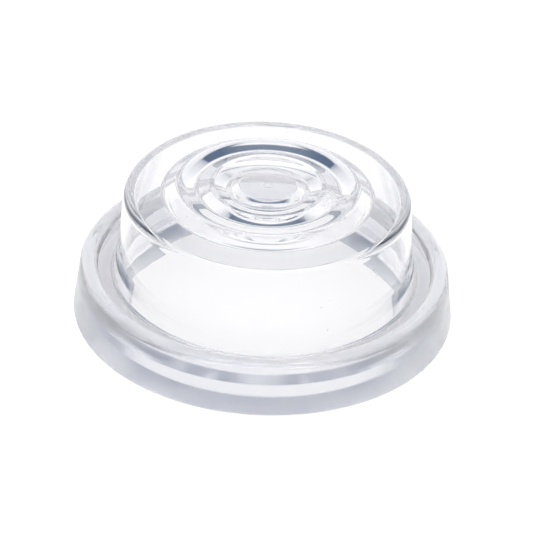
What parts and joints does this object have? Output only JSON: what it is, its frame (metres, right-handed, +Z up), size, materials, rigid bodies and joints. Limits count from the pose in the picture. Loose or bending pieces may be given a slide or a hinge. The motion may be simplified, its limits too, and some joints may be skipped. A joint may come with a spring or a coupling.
{
  "type": "sink plunger",
  "caption": "Handle-less clear push cup: a rippled, hat-shaped clear bell standing mouth down in a soft satin sealing ring.",
  "frame": {"origin": "on the cup's axis, in the plane of the sealing ring's bottom face", "axes": "+Z up along the axis, out of the mouth is -Z; the shape is round, so X and Y are any two level directions"},
  "size_m": [0.0998, 0.0998, 0.0386],
  "materials": {
    "clear_plastic": "polished",
    "satin_elastomer": "satin"
  },
  "bodies": {
    "ring": {"sealing_ring": "satin_elastomer"},
    "bell": {"clear_bell": "clear_plastic"}
  },
  "joints": [
    {"name": "bell_lift", "type": "slide", "parent": "ring", "child": "bell", "axis": [0, 0, 1], "range_m": [0, 0.03]}
  ]
}
